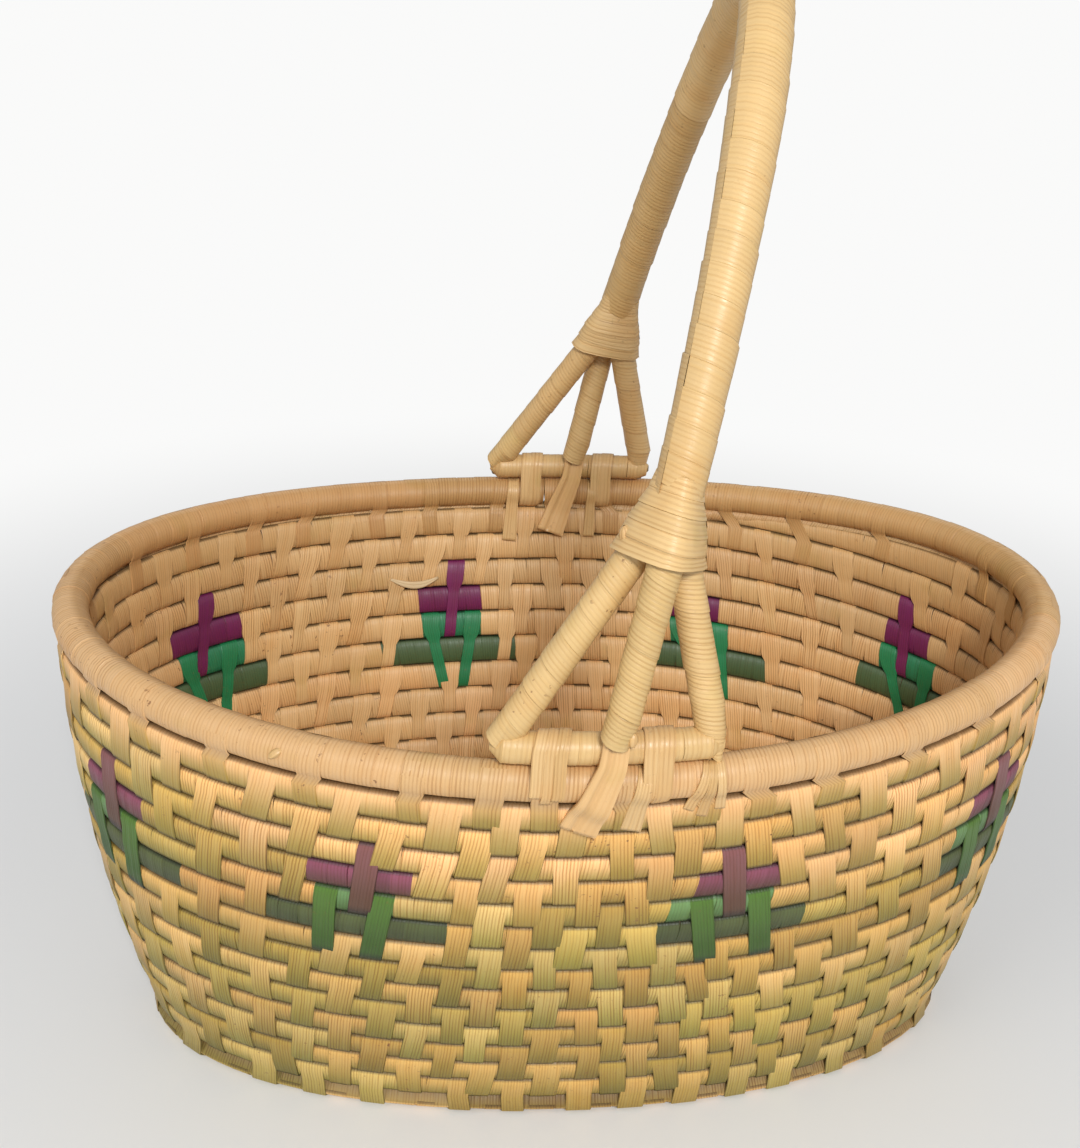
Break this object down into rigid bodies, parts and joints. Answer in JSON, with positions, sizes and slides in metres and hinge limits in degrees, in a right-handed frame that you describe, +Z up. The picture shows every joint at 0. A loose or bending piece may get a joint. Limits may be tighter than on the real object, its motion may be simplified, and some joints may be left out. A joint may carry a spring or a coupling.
{
  "type": "basket",
  "caption": "Oval coiled palm leaf basket with flaring sides, a thick rim and a fixed arched handle that forks into legs over the rim.",
  "frame": {"origin": "centre of the base's outline, on the surface the basket stands on", "axes": "+X along the oval to the right, +Y from the front foot of the handle to the rear one, +Z up"},
  "size_m": [0.373, 0.2515, 0.4124],
  "materials": {
    "coil_leaf": "satin",
    "rim_leaf": "satin",
    "handle_leaf": "satin",
    "bare_rib": "satin",
    "strap_leaf": "satin"
  },
  "bodies": {
    "root": {"base_coil": "coil_leaf", "wall_coil": "coil_leaf", "rim_coil": "rim_leaf", "left_rib": "bare_rib", "middle_rib": "bare_rib", "right_rib": "bare_rib", "front_foot_coil": "handle_leaf", "rear_foot_coil": "handle_leaf", "shaft_wrap": "handle_leaf", "front_left_leg_wrap": "handle_leaf", "front_middle_leg_wrap": "handle_leaf", "front_right_leg_wrap": "handle_leaf", "rear_left_leg_wrap": "handle_leaf", "rear_middle_leg_wrap": "handle_leaf", "rear_right_leg_wrap": "handle_leaf", "front_fork_binding": "handle_leaf", "rear_fork_binding": "handle_leaf", "front_left_lashing": "strap_leaf", "front_right_lashing": "strap_leaf", "rear_left_lashing": "strap_leaf", "rear_right_lashing": "strap_leaf"}
  },
  "joints": []
}
